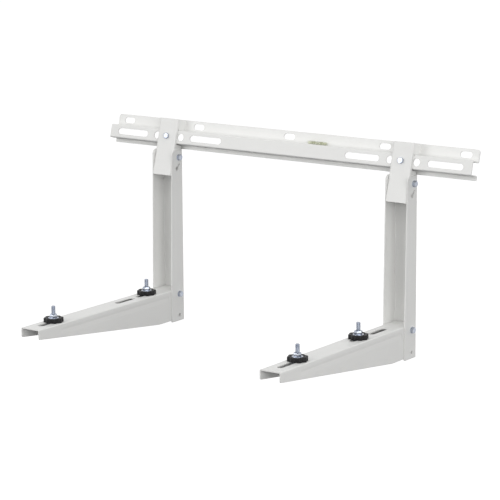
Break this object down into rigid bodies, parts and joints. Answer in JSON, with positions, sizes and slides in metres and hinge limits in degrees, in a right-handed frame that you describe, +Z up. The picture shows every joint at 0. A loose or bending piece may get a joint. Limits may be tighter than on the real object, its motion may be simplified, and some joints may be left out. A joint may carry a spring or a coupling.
{
  "type": "air conditioner outdoor unit bracket",
  "caption": "Wall bracket with a slotted crossbar, hung uprights, tapered arms with adjustable rubber mounts and a spirit level, to carry an outdoor unit.",
  "frame": {"origin": "in the middle between the two arms, on the plane of the uprights' backs, level with the arms' top faces", "axes": "+X along the crossbar to the right as seen from the front, +Y towards the wall, so the arms reach to -Y, +Z up"},
  "size_m": [0.8, 0.4382, 0.3881],
  "materials": {
    "white_coating": "satin powder coat",
    "zinc": "bright zinc",
    "black_rubber": "matte",
    "clear_vial": "clear",
    "level_liquid": "tinted liquid"
  },
  "bodies": {
    "wall_rail": {"crossbar": "white_coating", "level_body": "clear_vial", "level_liquid": "level_liquid", "left_hanger": "white_coating", "left_hanger_screw": "zinc", "left_hanger_nut": "zinc", "right_hanger": "white_coating", "right_hanger_screw": "zinc", "right_hanger_nut": "zinc"},
    "left_bracket": {"left_upright": "white_coating", "left_arm": "white_coating", "left_pivot_bolt": "zinc", "left_pivot_nut": "zinc", "left_pivot_washers": "zinc", "left_arm_bolt": "zinc", "left_arm_nut": "zinc", "left_arm_washers": "zinc"},
    "left_front_mount": {"left_front_pad": "black_rubber", "left_front_stud": "zinc", "left_front_top_washer": "zinc", "left_front_top_nut": "zinc", "left_front_under_washer": "zinc", "left_front_under_nut": "zinc"},
    "left_rear_mount": {"left_rear_pad": "black_rubber", "left_rear_stud": "zinc", "left_rear_top_washer": "zinc", "left_rear_top_nut": "zinc", "left_rear_under_washer": "zinc", "left_rear_under_nut": "zinc"},
    "right_bracket": {"right_upright": "white_coating", "right_arm": "white_coating", "right_pivot_bolt": "zinc", "right_pivot_nut": "zinc", "right_pivot_washers": "zinc", "right_arm_bolt": "zinc", "right_arm_nut": "zinc", "right_arm_washers": "zinc"},
    "right_front_mount": {"right_front_pad": "black_rubber", "right_front_stud": "zinc", "right_front_top_washer": "zinc", "right_front_top_nut": "zinc", "right_front_under_washer": "zinc", "right_front_under_nut": "zinc"},
    "right_rear_mount": {"right_rear_pad": "black_rubber", "right_rear_stud": "zinc", "right_rear_top_washer": "zinc", "right_rear_top_nut": "zinc", "right_rear_under_washer": "zinc", "right_rear_under_nut": "zinc"}
  },
  "joints": [
    {"name": "left_bracket_pivot", "type": "hinge", "parent": "wall_rail", "child": "left_bracket", "pos_m": [-0.26, -0.0125, 0.254], "axis": [-1, 0, 0], "range_deg": [0, 15]},
    {"name": "left_front_mount_slide", "type": "slide", "parent": "left_bracket", "child": "left_front_mount", "axis": [0, 1, 0], "range_m": [-0.0339, 0.019]},
    {"name": "left_rear_mount_slide", "type": "slide", "parent": "left_bracket", "child": "left_rear_mount", "axis": [0, 1, 0], "range_m": [-0.024, 0.0169]},
    {"name": "right_bracket_pivot", "type": "hinge", "parent": "wall_rail", "child": "right_bracket", "pos_m": [0.26, -0.0125, 0.254], "axis": [-1, 0, 0], "range_deg": [0, 15]},
    {"name": "right_front_mount_slide", "type": "slide", "parent": "right_bracket", "child": "right_front_mount", "axis": [0, 1, 0], "range_m": [-0.0498, 0.0031]},
    {"name": "right_rear_mount_slide", "type": "slide", "parent": "right_bracket", "child": "right_rear_mount", "axis": [0, 1, 0], "range_m": [-0.0188, 0.0221]}
  ]
}
